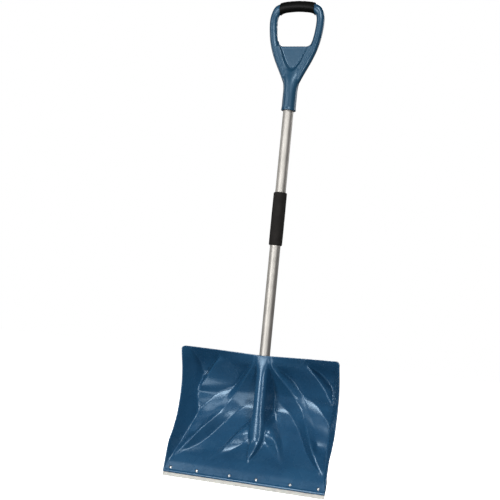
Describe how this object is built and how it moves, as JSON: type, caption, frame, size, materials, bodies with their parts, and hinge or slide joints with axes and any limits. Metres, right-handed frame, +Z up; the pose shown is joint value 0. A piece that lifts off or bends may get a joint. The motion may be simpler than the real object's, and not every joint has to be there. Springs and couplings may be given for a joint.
{
  "type": "snow shovel",
  "caption": "Snow shovel with a ribbed plastic scoop blade, metal wear strip, straight aluminium shaft, foam grip and D-grip.",
  "frame": {"origin": "middle of the scraping edge, on the lower end face of the wear strip", "axes": "+Z up along the shaft, -Y the open scooping side, +X across the blade"},
  "size_m": [0.455, 0.1382, 1.318],
  "materials": {
    "blade_plastic": "satin gloss injection moulding, steel blue",
    "strip_metal": "galvanised sheet",
    "rivet_metal": "zinc plated",
    "shaft_metal": "satin drawn and anodised",
    "foam": "closed-cell foam",
    "grip_plastic": "satin injection moulding, steel blue",
    "grip_rubber": "soft moulded rubber",
    "screw_metal": "zinc plated"
  },
  "bodies": {
    "root": {"blade": "blade_plastic", "wear_strip": "strip_metal", "wear_strip_rivet_1": "rivet_metal", "wear_strip_rivet_2": "rivet_metal", "wear_strip_rivet_3": "rivet_metal", "wear_strip_rivet_4": "rivet_metal", "wear_strip_rivet_5": "rivet_metal", "wear_strip_rivet_6": "rivet_metal", "shaft_tube": "shaft_metal", "foam_grip": "foam", "d_grip": "grip_plastic", "d_grip_sleeve": "grip_rubber", "blade_screw": "screw_metal", "grip_screw": "screw_metal"}
  },
  "joints": []
}
